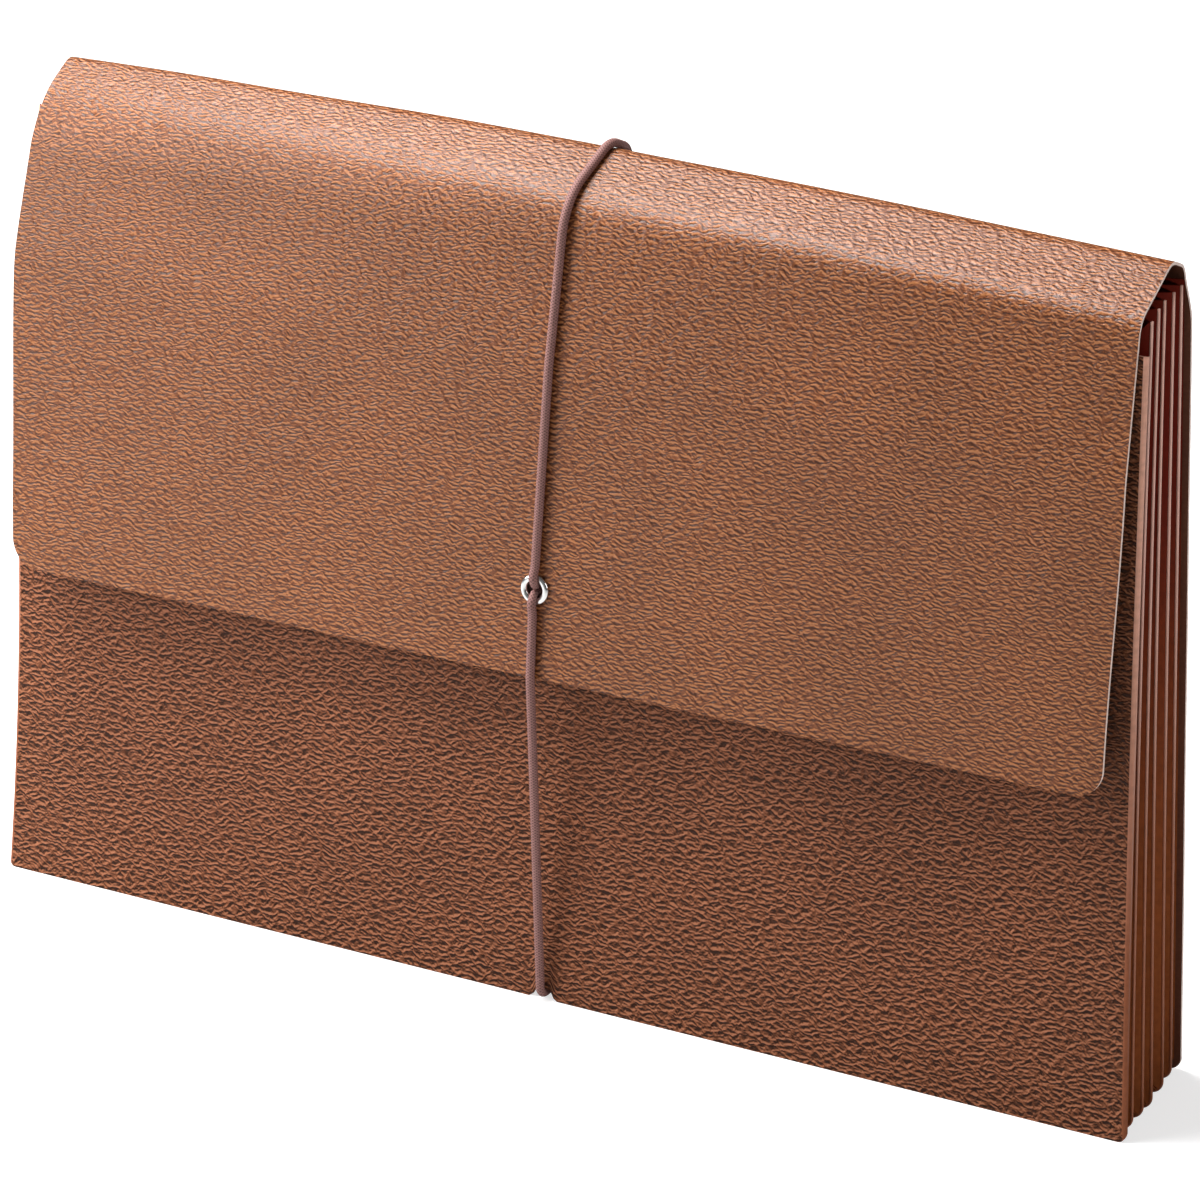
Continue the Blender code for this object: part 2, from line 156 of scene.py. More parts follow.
# each sheet: its own colour (raised), a painted shade colour for the creases and downward slopes, and a
# painted highlight colour for upward slopes
grainSettings = {
    "flapLeather": {
        "raised": (126, 69, 35), "paintedShade": (60, 30, 14), "paintedHighlight": (178, 113, 66), "cell": (0.0040, 0.0016),
        "depth": 0.00016, "crease": 0.0, "flat": 0.48, "tone": 0.4, "gain": 0.9, "wander": 0.0030,
        "roughness": 0.34, "specular": 0.36, "seed": 1.3},
    "panelLeather": {
        "raised": (116, 68, 44), "paintedShade": (40, 21, 13), "paintedHighlight": (168, 107, 76), "cell": (0.0043, 0.0023),
        "depth": 0.00036, "crease": 0.34, "flat": 0.0, "tone": 1.0, "gain": 0.9, "wander": 0.0036,
        "roughness": 0.5, "specular": 0.12, "seed": 6.1},
    "liningPaper": {
        "raised": (120, 74, 54), "paintedShade": (108, 66, 48), "paintedHighlight": (126, 80, 60), "cell": (0.0030, 0.0024),
        "depth": 0.00003, "crease": 0.4, "flat": 0.0, "tone": 1.0, "gain": 0.4, "wander": 0.0040,
        "roughness": 0.6, "specular": 0.3, "seed": 3.7},
}
embossSettings = {
    "warpScale": 170.0, "warpDetail": 3.0, "poreScale": 1100.0, "poreShare": 0.5,
    "sizes": ((1.0, 0.75), (0.62, 0.45), (0.37, 0.2)), "apart": 9.0, "slopeStep": 0.0005,
    "rise": (0.1, 1.2), "slope": 0.45, "roughRise": (0.2, 1.2), "roughMore": 0.12,
    "cloudScale": 22.0, "cloudDetail": 3.0, "cloudFrom": (0.3, 0.7), "cloudTo": (0.92, 1.06)}


def wrinkleHeight(g, place, s):
    # cells longer across than down, in three sizes: pebbles with sunk creases, or sunk cells in a raised net
    emboss = embossSettings
    warp = g.noise(place, emboss["warpScale"], emboss["warpDetail"]).outputs["Color"]
    centred = g.vector("SUBTRACT", warp, (0.5, 0.5, 0.5))
    moved = g.vector("ADD", place, g.vector("SCALE", centred, s["wander"]))
    height = g.math("MULTIPLY", g.noise(moved, emboss["poreScale"]).outputs["Fac"], emboss["poreShare"])
    for size, share in emboss["sizes"]:
        scale = (1.0 / (s["cell"][0] * size), 1.0 / (s["cell"][1] * size), 1.0)
        shift = (s["seed"] + size * emboss["apart"], s["seed"], 0.0)
        spot = g.add("ShaderNodeMapping", {"Vector": moved, "Location": shift, "Scale": scale}).outputs[0]
        cells = g.add("ShaderNodeTexVoronoi", {"Vector": spot, "Scale": 1.0}, feature="DISTANCE_TO_EDGE",
                      voronoi_dimensions="2D")
        height = g.math("ADD", height, g.ramp(cells.outputs["Distance"], s["crease"], s["flat"], 0.0, share))
    return height


def makeGrain(name):
    # embossed sheet: slopes that face up get a painted highlight and slopes that face down get painted shade,
    # as if lit from above; the creases are painted darker as shade
    s = grainSettings[name]
    emboss = embossSettings
    g = Finish(name)
    raised, paintedShade, paintedHighlight = (screenColour(*s[key]) for key in ("raised", "paintedShade", "paintedHighlight"))
    place = g.place()
    height = wrinkleHeight(g, place, s)
    higher = wrinkleHeight(g, g.vector("ADD", place, (0.0, emboss["slopeStep"], 0.0)), s)
    slope = g.math("SUBTRACT", higher, height)
    cloud = g.noise(place, emboss["cloudScale"], emboss["cloudDetail"]).outputs["Fac"]
    # painted shade: the low parts of the emboss, the creases, are darkened by the share tone
    colour = g.mix(g.ramp(height, *emboss["rise"], 1.0 - s["tone"], 1.0), paintedShade, raised)
    # painted highlight on slopes that face up and painted shade on slopes that face down, as if lit from
    # above
    colour = g.mix(g.ramp(slope, 0.0, emboss["slope"], 0.0, s["gain"]), colour, paintedHighlight)
    colour = g.mix(g.ramp(slope, 0.0, -emboss["slope"], 0.0, s["gain"]), colour, paintedShade)
    colour = g.shaded(colour, g.ramp(cloud, *emboss["cloudFrom"], *emboss["cloudTo"]))
    bump = g.add("ShaderNodeBump", {"Height": height, "Strength": 1.0, "Distance": s["depth"]})
    rough = g.ramp(height, *emboss["roughRise"], s["roughness"] + emboss["roughMore"], s["roughness"])
    return g.finish(Base_Color=colour, Roughness=rough, Normal=bump.outputs[0],
                    Specular_IOR_Level=s["specular"])


# for foldPaper and edgePaper the light top colour is a painted highlight, fading down to the paper's brown
plainSettings = {
    "cutEdge": {"colour": (250, 226, 214), "low": (250, 226, 214), "roughness": 0.6, "metallic": 0.0,
                "specular": 0.3, "speck": 0.08},
    "pleatPaper": {"colour": (112, 30, 17), "low": (150, 82, 42), "roughness": 0.7, "metallic": 0.0,
                   "specular": 0.1, "speck": 0.14},
    "foldPaper": {"colour": (242, 190, 172), "low": (164, 98, 66), "roughness": 0.28, "metallic": 0.0,
                  "specular": 0.4, "speck": 0.16},
    "edgePaper": {"colour": (226, 168, 144), "low": (150, 88, 58), "roughness": 0.5, "metallic": 0.0,
                  "specular": 0.15, "speck": 0.10},
    "eyeletMetal": {"colour": (222, 222, 220), "low": (222, 222, 220), "roughness": 0.14, "metallic": 1.0,
                    "specular": 0.5, "speck": 0.03},
}
mottleSettings = {"scale": 420.0, "detail": 5.0, "fade": (0.05, 0.2), "tone": (0.25, 0.75),
                  "rough": (0.2, 0.8), "roughMore": 0.06, "bump": 0.3, "depth": 0.00002}


def makePlain(name):
    # plain paper or metal with a faint mottle and a slow change of colour from the top down; on the fold
    # rolls and the panel's rolled edge the lighter top is a painted highlight
    s = plainSettings[name]
    mottling = mottleSettings
    g = Finish(name)
    place = g.place()
    down = g.ramp(g.add("ShaderNodeSeparateXYZ", {0: place}).outputs[1], *mottling["fade"])
    mottle = g.noise(place, mottling["scale"], mottling["detail"]).outputs["Fac"]
    # painted highlight: the fold rolls and rolled edges are lighter towards the top
    colour = g.mix(down, screenColour(*s["colour"]), screenColour(*s["low"]))
    colour = g.shaded(colour, g.ramp(mottle, *mottling["tone"], 1.0 - s["speck"], 1.0 + s["speck"]))
    more = mottling["roughMore"]
    rough = g.ramp(mottle, *mottling["rough"], s["roughness"] - more, s["roughness"] + more)
    values = {"Height": mottle, "Strength": mottling["bump"], "Distance": mottling["depth"]}
    bump = g.add("ShaderNodeBump", values)
    return g.finish(Base_Color=colour, Roughness=rough, Metallic=s["metallic"], Normal=bump.outputs[0],
                    Specular_IOR_Level=s["specular"])


braidSettings = {"light": (158, 116, 110), "grooveShade": (106, 74, 70), "roughness": 0.6, "specular": 0.25,
                 "pitch": 0.0009, "strands": 6, "weave": (0.7, 1.0), "bump": 0.7, "depth": 0.00015}


def makeBraid():
    # two families of strands that cross as they wind round the cord, with painted shade in the grooves
    # between them
    s = braidSettings
    g = Finish("cordBraid")
    place = g.add("ShaderNodeSeparateXYZ", {0: g.place()})
    turn = g.math("MULTIPLY", place.outputs[0], s["strands"] * math.pi)
    run = g.math("MULTIPLY", place.outputs[1], math.pi / s["pitch"])
    first = g.math("ABSOLUTE", g.math("SINE", g.math("ADD", turn, run)))
    second = g.math("ABSOLUTE", g.math("SINE", g.math("SUBTRACT", turn, run)))
    weave = g.math("MAXIMUM", first, second)
    # painted shade: the grooves between the strands are darker
    colour = g.mix(g.ramp(weave, *s["weave"]), screenColour(*s["grooveShade"]), screenColour(*s["light"]))
    bump = g.add("ShaderNodeBump", {"Height": weave, "Strength": s["bump"], "Distance": s["depth"]})
    return g.finish(Base_Color=colour, Roughness=s["roughness"], Normal=bump.outputs[0],
                    Specular_IOR_Level=s["specular"])


materials = {name: makeGrain(name) for name in grainSettings}
materials.update({name: makePlain(name) for name in plainSettings})
materials["cordBraid"] = makeBraid()
print("materials made")

rackSettings = {
    "reach": 0.19, "power": 1.5, "footForward": 0.0055, "headBack": 0.0055, "footOut": 0.003, "headIn": 0.003,
    "headDrop": 0.0026, "headFrom": 0.76, "bow": 0.0020, "waist": 0.0012, "waistAt": 0.25, "waistHalf": 0.25,
    "rightOut": 0.0034, "spread": 0.5, "backIn": 0.0020, "flapSkew": 0.0027}
flapBend = foldPlaces[3].y


def racked(point):
    # the left end stands racked: its foot is drawn forward, its head lies back and sags; the top bows up
    # the right end spreads: wider at the foot of the front, narrower at the back
    # the flap's lower edge hangs a little askew, level at the cord
    s = rackSettings
    x, y, z = point
    share = (max(0.0, -x) / s["reach"]) ** s["power"]
    right = (max(0.0, x) / s["reach"]) ** s["power"]
    rise = min(1.0, z / backHigh.z)
    front = frontLow.y + (frontHigh.y - frontLow.y) * rise
    depth = min(1.0, max(0.0, (backLow.y - y) / (backLow.y - front)))
    head = smoothStep(s["headFrom"], 1.0, rise)
    foot = (1.0 - rise) ** 2
    waist = s["waist"] * max(0.0, 1.0 - ((rise - s["waistAt"]) / s["waistHalf"]) ** 2)
    z += s["bow"] * head * max(0.0, 1.0 - (x / s["reach"]) ** 2) - share * s["headDrop"] * head
    askew = smoothStep(0.0, flapLow.z, point[2]) * (1.0 - smoothStep(flapLow.z, flapBend, point[2]))
    z += depth * askew * s["flapSkew"] * x / s["reach"]
    forward = s["footForward"] * max(0.0, 0.5 - 0.5 * x / s["reach"])
    y -= depth * (foot * forward - share * s["headBack"] * rise ** 3)
    x -= share * (s["footOut"] * foot - s["headIn"] * head - waist)
    x += right * (s["rightOut"] * foot * min(1.0, depth / s["spread"]) - s["backIn"] * (1.0 - depth))
    return (x, y, z)


def makeMesh(name, points, faces, places, slots, faceSlots):
    mesh = bpy.data.meshes.new(name)
    mesh.from_pydata([racked(point) for point in points], [], faces)
    layer = mesh.uv_layers.new(name="sheet")
    for loop in mesh.loops:
        layer.data[loop.index].uv = places[loop.vertex_index]
    for slot in slots:
        mesh.materials.append(materials[slot])
    mesh.polygons.foreach_set("material_index", faceSlots)
    mesh.polygons.foreach_set("use_smooth", [True] * len(mesh.polygons))
    mesh.update()
    item = bpy.data.objects.new(name, mesh)
    bpy.context.scene.collection.objects.link(item)
    return item


class Path:
    # line of (y, z) points with each corner rounded, read by distance from its start
    def __init__(self, corners, radii, step):
        line = [corners[0]]
        for index, radius in enumerate(radii):
            line += self.bend(*corners[index:index + 3], radius, step)
        line.append(corners[-1])
        self.points = []
        for start, end in zip(line, line[1:]):
            count = max(1, round((end - start).length / step))
            self.points += [start.lerp(end, k / count) for k in range(count)]
        self.points.append(line[-1])
        self.marks = [0.0]
        for start, end in zip(self.points, self.points[1:]):
            self.marks.append(self.marks[-1] + (end - start).length)
        self.length = self.marks[-1]

    def bend(self, before, corner, after, radius, step):
        back = (before - corner).normalized()
        ahead = (after - corner).normalized()
        half = back.angle(ahead) / 2.0
        reach = radius / math.tan(half)
        centre = corner + (back + ahead).normalized() * radius / math.sin(half)
        start = corner + back * reach - centre
        sweep = start.angle_signed(corner + ahead * reach - centre)
        count = max(2, round(abs(sweep) * radius / step))
        return [centre + Matrix.Rotation(-sweep * k / count, 2) @ start for k in range(count + 1)]

    def at(self, distance):
        low, high = 0, len(self.marks) - 1
        while high - low > 1:
            middle = (low + high) // 2
            low, high = (middle, high) if self.marks[middle] <= distance else (low, middle)
        share = (distance - self.marks[low]) / (self.marks[high] - self.marks[low])
        along = (self.points[high] - self.points[low]).normalized()
        return self.points[low].lerp(self.points[high], share), along

    def lifted(self, distance, height):
        # point off the path on its right in (y, z), which is the outside of the cover
        point, along = self.at(distance)
        return point + Vector((along.y, -along.x)) * height

    def nearest(self, place):
        gaps = [(point - place).length for point in self.points]
        return self.marks[gaps.index(min(gaps))]


coverSettings = {
    "thickness": 0.0009, "radii": (0.0032, 0.0065, 0.008, 0.06), "softRadius": 0.025, "step": 0.0012,
    "columns": 75, "crowding": 1.35, "cornerRadius": 0.009, "cornerRows": 12, "footRadius": 0.004,
    "taper": 0.016, "taperPast": 0.002, "flapTaper": 0.0024, "hole": 0.0036, "backSeam": 0.02,
    "wave": 0.0004, "waveScale": (14.0, 16.0), "waveSeed": 2.0, "calmCord": 0.03, "calmFloor": 0.05,
    "bends": ((-0.0045, -0.0005), (-0.0035, 0.0035), (-0.008, 0.008), (-0.012, 0.012))}
halfThickness = coverSettings["thickness"] / 2.0
flapEdge = Vector((flapLow.y + halfThickness, flapLow.z))
coverCorners = [Vector((foldPlaces[0].x, 0.0)), *foldPlaces, flapEdge]
cover = Path(coverCorners, coverSettings["radii"], coverSettings["step"])
softRadii = [*coverSettings["radii"][:2], coverSettings["softRadius"], coverSettings["radii"][3]]
softCover = Path(coverCorners, softRadii, coverSettings["step"])
atTop, atRidge, atFold, atShoulder = (cover.nearest(place) for place in foldPlaces)
atEyelet = cover.nearest(flat(midway(eyeletLow, eyeletHigh)))


def cornerLoss(radius, distance):
    # width that a round corner takes away at one distance from the sheet's edge
    if distance >= radius:
        return 0.0
    return radius - math.sqrt(max(0.0, radius ** 2 - (radius - distance) ** 2))


def cornerMarks(radius, rows):
    return [radius * (1.0 - math.cos(k / rows * math.pi / 2.0)) for k in range(rows + 1)]


def coverHalf(distance):
    # half width: full on the back, narrower over the top, round at the corners
    s = coverSettings
    narrowing = smoothStep(atTop - s["taper"], atTop + s["taperPast"], distance)
    half = backHigh.x + (flapHigh.x - backHigh.x) * narrowing
    half -= s["flapTaper"] * smoothStep(atShoulder, cover.length, distance)
    half -= cornerLoss(s["cornerRadius"], cover.length - distance)
    return half - cornerLoss(s["footRadius"], distance)


def coverWave(x, distance):
    # slow unevenness of a stiff sheet, none at the cord and the floor
    s = coverSettings
    across, down = s["waveScale"]
    calm = smoothStep(0.0, s["calmCord"], abs(x)) * smoothStep(0.0, s["calmFloor"], distance)
    return s["wave"] * calm * noise.noise(Vector((x * across, distance * down, s["waveSeed"])))


def gridFaces(rows, columns, start, flip):
    faces = []
    for row in range(rows - 1):
        for column in range(columns - 1):
            corner = start + row * columns + column
            face = (corner, corner + 1, corner + columns + 1, corner + columns)
            faces.append(tuple(reversed(face)) if flip else face)
    return faces


def sheetMesh(name, marks, shares, placeAt, widthAt, downAt, slots, ends, cut=None, rolled=None):
    # two faces of a sheet and its cut edges
    # placeAt gives the point for x, a mark and a height off the middle
    points, places, faces, faceSlots = [], [], [], []

    def addGrid(grid, slot, flip):
        start = len(points)
        for line in grid:
            for point, place in line:
                points.append(point)
                places.append(place)
        for face in gridFaces(len(grid), len(grid[0]), start, flip):
            if cut is None or not cut(sum((Vector(points[k]) for k in face), Vector()) / len(face)):
                faces.append(face)
                onRoll = rolled is not None and min(abs(places[k][0]) for k in face) >= rolled
                faceSlots.append(2 if onRoll else slot)

    def entry(share, mark, side):
        x = share * widthAt(mark)
        return placeAt(x, mark, side * halfThickness), (x, downAt(mark))

    for side, slot in ((1.0, 0), (-1.0, 1)):
        addGrid([[entry(share, mark, side) for share in shares] for mark in marks], slot, side < 0.0)
    for share, flip in ((shares[0], False), (shares[-1], True)):
        addGrid([[entry(share, mark, side) for side in (-1.0, 1.0)] for mark in marks], 2, flip)
    for wanted, mark, flip in zip(ends, (marks[0], marks[-1]), (True, False)):
        if wanted:
            addGrid([[entry(share, mark, side) for share in shares] for side in (1.0, -1.0)], 2, flip)
    return makeMesh(name, points, faces, places, slots, faceSlots)


def evenMarks(start, end, step):
    count = max(2, round((end - start) / step))
    return [start + (end - start) * k / count for k in range(count + 1)]


def middleColumns(count, reach=1.0):
    # columns closer together at the middle, where the cord runs
    crowding = coverSettings["crowding"]
    return [reach * math.copysign(abs(k / count) ** crowding, k) for k in range(-count, count + 1)]


def coverPlace(x, distance, height):
    # the shoulder fold is crisp at the right end and softer towards the left
    distance = min(distance, cover.length)
    height += coverWave(x, distance)
    crisp = cover.lifted(distance, height)
    soft = softCover.lifted(distance * softCover.length / cover.length, height)
    point = soft.lerp(crisp, smoothStep(flapLow.x, flapHigh.x, x))
    return (x, point.x, point.y)


notchSettings = {"half": 0.0021, "slope": 0.0022, "fade": 0.02, "clear": 0.0003}
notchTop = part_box("cord_bottom")[1].z + notchSettings["clear"]


def notchRise(x, mark):
    # the sheet's lower edge rises over the cord
    s = notchSettings
    beside = smoothStep(s["half"], s["half"] + s["slope"], abs(x))
    return notchTop * (1.0 - beside) * (1.0 - smoothStep(0.0, s["fade"], mark))


def coverBackPlace(x, distance, height):
    return coverPlace(x, distance + notchRise(x, distance), height)


def atHole(point):
    return (point - solid(cover.at(atEyelet)[0])).length < coverSettings["hole"]


def coverPiece(name, start, end, placeAt=coverPlace, capStart=False):
    s = coverSettings
    marks = evenMarks(start, end, s["step"])
    last = end == cover.length
    if last:
        marks = [mark for mark in marks if mark < end - s["cornerRadius"]]
        marks += [end - mark for mark in reversed(cornerMarks(s["cornerRadius"], s["cornerRows"]))]
    if start == 0.0:
        marks = [mark for mark in marks if mark > s["footRadius"]]
        marks = cornerMarks(s["footRadius"], s["cornerRows"]) + marks
    return sheetMesh(name, marks, middleColumns(s["columns"]), placeAt, coverHalf,
                     lambda mark: abs(mark - atTop), ("flapLeather", "liningPaper", "cutEdge"),
                     (capStart, last), atHole if last else None)


def buildCover():
    s = coverSettings
    folds = (atTop, atRidge, atFold, atShoulder)
    seams = [atTop - s["backSeam"], *(midway(*pair) for pair in zip(folds, folds[1:])), cover.length]
    back = coverPiece("coverBack", 0.0, seams[0], coverBackPlace, capStart=True)
    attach(back, "back_panel")
    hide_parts("back_panel")
    bodies = ("back_panel", "top_band_rear", "top_band_front", "flap_shoulder", "flap_front")
    names = ("coverTopFold", "coverRidge", "coverFold", "coverFlap")
    for k, fold in enumerate(folds):
        piece = coverPiece(names[k], seams[k], seams[k + 1])
        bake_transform(piece)
        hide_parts(bodies[k + 1])


buildCover()
print("cover made")

frontSettings = {
    "step": 0.0016, "columns": 75, "roll": 0.0011, "rollColumns": 6, "rollBack": 0.0010, "rollMargin": 1e-6,
    "tuck": 0.0040, "tuckFrom": 0.13, "footRadius": 0.0025, "footRows": 8, "swell": 0.0010,
    "swellScale": (9.0, 11.0), "swellSeed": 7.0, "calmFoot": 0.04, "calmEdge": 0.02, "calmCord": 0.02}
frontFoot = Vector((frontLow.y + halfThickness, 0.0))
frontTop = Vector((frontHigh.y - halfThickness, frontHigh.z))
frontLength = (frontTop - frontFoot).length
frontAlong = (frontTop - frontFoot).normalized()
frontOut = Vector((-frontAlong.y, frontAlong.x))


def frontSwell(x, mark):
    # slow unevenness of the panel, none at its foot, its sides and the cord
    s = frontSettings
    across, up = s["swellScale"]
    calm = smoothStep(0.0, s["calmFoot"], mark) * smoothStep(0.0, s["calmEdge"], frontHigh.x - abs(x))
    calm *= smoothStep(0.0, s["calmCord"], abs(x))
    return s["swell"] * calm * noise.noise(Vector((x * across, mark * up, s["swellSeed"])))


def frontPlace(x, mark, height):
    # the side edges roll back into the first pleat, and the upper left edge lies tucked behind the flap
    s = frontSettings
    rolled = max(0.0, (abs(x) - frontHigh.x + s["roll"]) / s["roll"])
    back = s["rollBack"] * (1.0 - math.sqrt(max(0.0, 1.0 - rolled * rolled)))
    out = height + frontSwell(x, mark) - back
    point = frontFoot + frontAlong * (mark + notchRise(x, mark)) + frontOut * out
    tuck = s["tuck"] * smoothStep(s["tuckFrom"], frontLength, mark) * max(0.0, -x) / frontHigh.x
    return (x + tuck, point.x, point.y)


def buildFront():
    s = frontSettings
    edge = 1.0 - s["roll"] / frontHigh.x
    turns = [math.sin(k / s["rollColumns"] * math.pi / 2.0) for k in range(1, s["rollColumns"] + 1)]
    outside = [edge + (1.0 - edge) * turn for turn in turns]
    shares = [-share for share in reversed(outside)] + middleColumns(s["columns"], edge) + outside
    marks = cornerMarks(s["footRadius"], s["footRows"])
    marks += evenMarks(s["footRadius"], frontLength, s["step"])[1:]
    sheet = sheetMesh("frontSheet", marks, shares, frontPlace,
                      lambda mark: frontHigh.x - cornerLoss(s["footRadius"], mark),
                      lambda mark: frontLength - mark, ("panelLeather", "liningPaper", "edgePaper"),
                      (True, True), rolled=frontHigh.x * edge - s["rollMargin"])
    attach(sheet, "front_panel")
    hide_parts("front_panel")


buildFront()
print("front panel made")

leafSettings = {
    "outer": 0.0010, "joined": 0.0002, "inner": 0.0006, "end": 0.00012, "top": -0.0015, "thickness": 0.0004,
    "nearFold": 0.0025, "step": 0.008, "tip": 0.00001, "count": 12, "grid": 1e6, "facing": 0.9,
    "parallel": 1e-3, "steep": 2.0}


def leafOutline(node, normal):
    # corners of a leaf's middle plane, in order, from the rim of its solid's upper face
    s = leafSettings
    item = frame["nodes"][node]
    mesh = item.data
    mesh.calc_loop_triangles()
    spots = [item.matrix_world @ vertex.co for vertex in mesh.vertices]
    keys = [tuple(round(c * s["grid"]) for c in spot) for spot in spots]
    rim = {}
    for triangle in mesh.loop_triangles:
        a, b, c = (spots[k] for k in triangle.vertices)
        if (b - a).cross(c - a).normalized().dot(normal) > s["facing"]:
            ids = [keys[k] for k in triangle.vertices]
            for start, end in zip(ids, ids[1:] + ids[:1]):
                if rim.get(end) and start in rim[end]:
                    rim[end].discard(start)
                else:
                    rim.setdefault(start, set()).add(end)
    rim = {start: next(iter(ends)) for start, ends in rim.items() if ends}
    first = next(iter(rim))
    loop = [first]
    while rim[loop[-1]] != first:
        loop.append(rim[loop[-1]])
    return [Vector(key) / s["grid"] - normal * s["thickness"] / 2.0 for key in loop]


def grownOutline(corners, reaches):
    # outline with each edge moved outward by its own reach
    lines = []
    for index, corner in enumerate(corners):
        along = (corners[(index + 1) % len(corners)] - corner).normalized()
        out = Vector((along.y, -along.x))
        lines.append((corner + out * reaches[index], along))
    grown = []
    for index, (spot, along) in enumerate(lines):
        before, run = lines[index - 1]
        turn = run.x * along.y - run.y * along.x
        if abs(turn) < leafSettings["parallel"]:
            grown.append(spot)
        else:
            gap = spot - before
            grown.append(before + run * (gap.x * along.y - gap.y * along.x) / turn)
    return grown


def spanAt(corners, level):
    # reach of a leaf across its fold, at one distance along the fold
    cuts = []
    for index, first in enumerate(corners):
        second = corners[(index + 1) % len(corners)]
        if min(first.y, second.y) <= level <= max(first.y, second.y):
            rise = second.y - first.y
            cuts.append(first.x if rise == 0.0 else first.x + (second.x - first.x) * (level - first.y) / rise)
    return min(cuts), max(cuts)


def nodeMiddle(node):
    item = frame["nodes"][node]
    spots = [item.matrix_world @ vertex.co for vertex in item.data.vertices]
    return sum(spots, Vector()) / len(spots)


def ringFaces(count):
    # four-sided tube of rings of four points, closed at both ends
    faces = [(3, 2, 1, 0)]
    for ring in range(0, count - 4, 4):
        faces += [(ring + k, ring + (k + 1) % 4, ring + 4 + (k + 1) % 4, ring + 4 + k) for k in range(4)]
    faces.append(tuple(count - 4 + k for k in range(4)))
    return faces


def buildLeaf(side, number):
    # leaf of folded paper, grown from its solid to the fold lines on both sides
    s = leafSettings
    node, joint = f"{side}_leaf_{number:02d}", f"{side}_turn_{number:02d}"
    foot = jointPlace(joint)
    along = Vector(joints[joint]["axis"])
    arm = nodeMiddle(node) - foot
    across = arm - along * arm.dot(along)
    across.normalize()
    normal = across.cross(along)

    def edgeReach(corner, after):
        centre = midway(corner, after)
        if centre.x < s["nearFold"]:
            return s["joined"] if number in (1, s["count"]) else s["outer"]
        if abs(after.y - corner.y) > abs(after.x - corner.x) * s["steep"]:
            return s["inner"]
        height = (foot + across * centre.x + along * centre.y).z
        return s["top"] if height > backHigh.z / 2.0 else s["end"]

    corners = [Vector(((c - foot).dot(across), (c - foot).dot(along))) for c in leafOutline(node, normal)]
    reaches = [edgeReach(corner, after) for corner, after in zip(corners, corners[1:] + corners[:1])]
    corners = grownOutline(corners, reaches)
    low, high = (pick(corner.y for corner in corners) for pick in (min, max))
    levels = evenMarks(low + s["tip"], high - s["tip"], s["step"]) + [corner.y for corner in corners]
    levels = sorted(level for level in levels if low + s["tip"] <= level <= high - s["tip"])
    points, places = [], []
    for level in levels:
        near, far = spanAt(corners, level)
        for reach, height in ((near, 0.5), (far, 0.5), (far, -0.5), (near, -0.5)):
            point = foot + across * reach + along * level + normal * s["thickness"] * height
            points.append(tuple(point))
            places.append((reach, backHigh.z - point.z))
    faces = ringFaces(len(points))
    leaf = makeMesh(node + "Paper", points, faces, places, ("pleatPaper",), [0] * len(faces))
    leaf.data.polygons.foreach_set("use_smooth", [False] * len(faces))
    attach(leaf, node)
    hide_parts(node)


def buildPleats():
    for number in range(1, leafSettings["count"] + 1):
        for side in ("right", "left", "bottom"):
            buildLeaf(side, number)


buildPleats()
print("pleat leaves made")


def barTree():
    # round bar along a line: each point of the line carries its radius and its distance down the bar
    tree = bpy.data.node_groups.new("roundBar", "GeometryNodeTree")
    sockets = tree.interface
    sockets.new_socket("Line", in_out="INPUT", socket_type="NodeSocketGeometry")
    sides = sockets.new_socket("Sides", in_out="INPUT", socket_type="NodeSocketInt")
    finish = sockets.new_socket("Finish", in_out="INPUT", socket_type="NodeSocketMaterial")
    sockets.new_socket("Bar", in_out="OUTPUT", socket_type="NodeSocketGeometry")
    g = NodeGraph(tree)

    def carried(name):
        values = {"Name": name}
        return g.add("GeometryNodeInputNamedAttribute", values, data_type="FLOAT").outputs["Attribute"]

    def stored(shape, name, value, kind, domain):
        values = {"Geometry": shape, "Name": name, "Value": value}
        return g.add("GeometryNodeStoreNamedAttribute", values, data_type=kind, domain=domain).outputs[0]

    given = g.add("NodeGroupInput").outputs
    curve = g.add("GeometryNodeMeshToCurve", {"Mesh": given["Line"]}).outputs[0]
    values = {"Resolution": given["Sides"], "Radius": 1.0, "Sweep Angle": 2.0 * math.pi}
    ring = g.add("GeometryNodeCurveArc", values).outputs[0]
    ring = stored(ring, "turn", g.add("GeometryNodeSplineParameter").outputs["Factor"], "FLOAT", "POINT")
    values = {"Curve": curve, "Profile Curve": ring, "Scale": carried("girth")}
    bar = g.add("GeometryNodeCurveToMesh", values).outputs[0]
    place = g.add("ShaderNodeCombineXYZ", {0: carried("turn"), 1: carried("down")}).outputs[0]
    bar = stored(bar, "sheet", place, "FLOAT2", "CORNER")
    bar = g.add("GeometryNodeSetShadeSmooth", {"Geometry": bar}).outputs[0]
    bar = g.add("GeometryNodeRealizeInstances", {"Geometry": bar}).outputs[0]
    bar = g.add("GeometryNodeSetMaterial", {"Geometry": bar, "Material": given["Finish"]}).outputs[0]
    g.add("NodeGroupOutput", {"Bar": bar})
    return tree, sides.identifier, finish.identifier


barSettings = {"cap": 0.00002, "capRadius": 0.00001}
bars, sidesKey, finishKey = barTree()


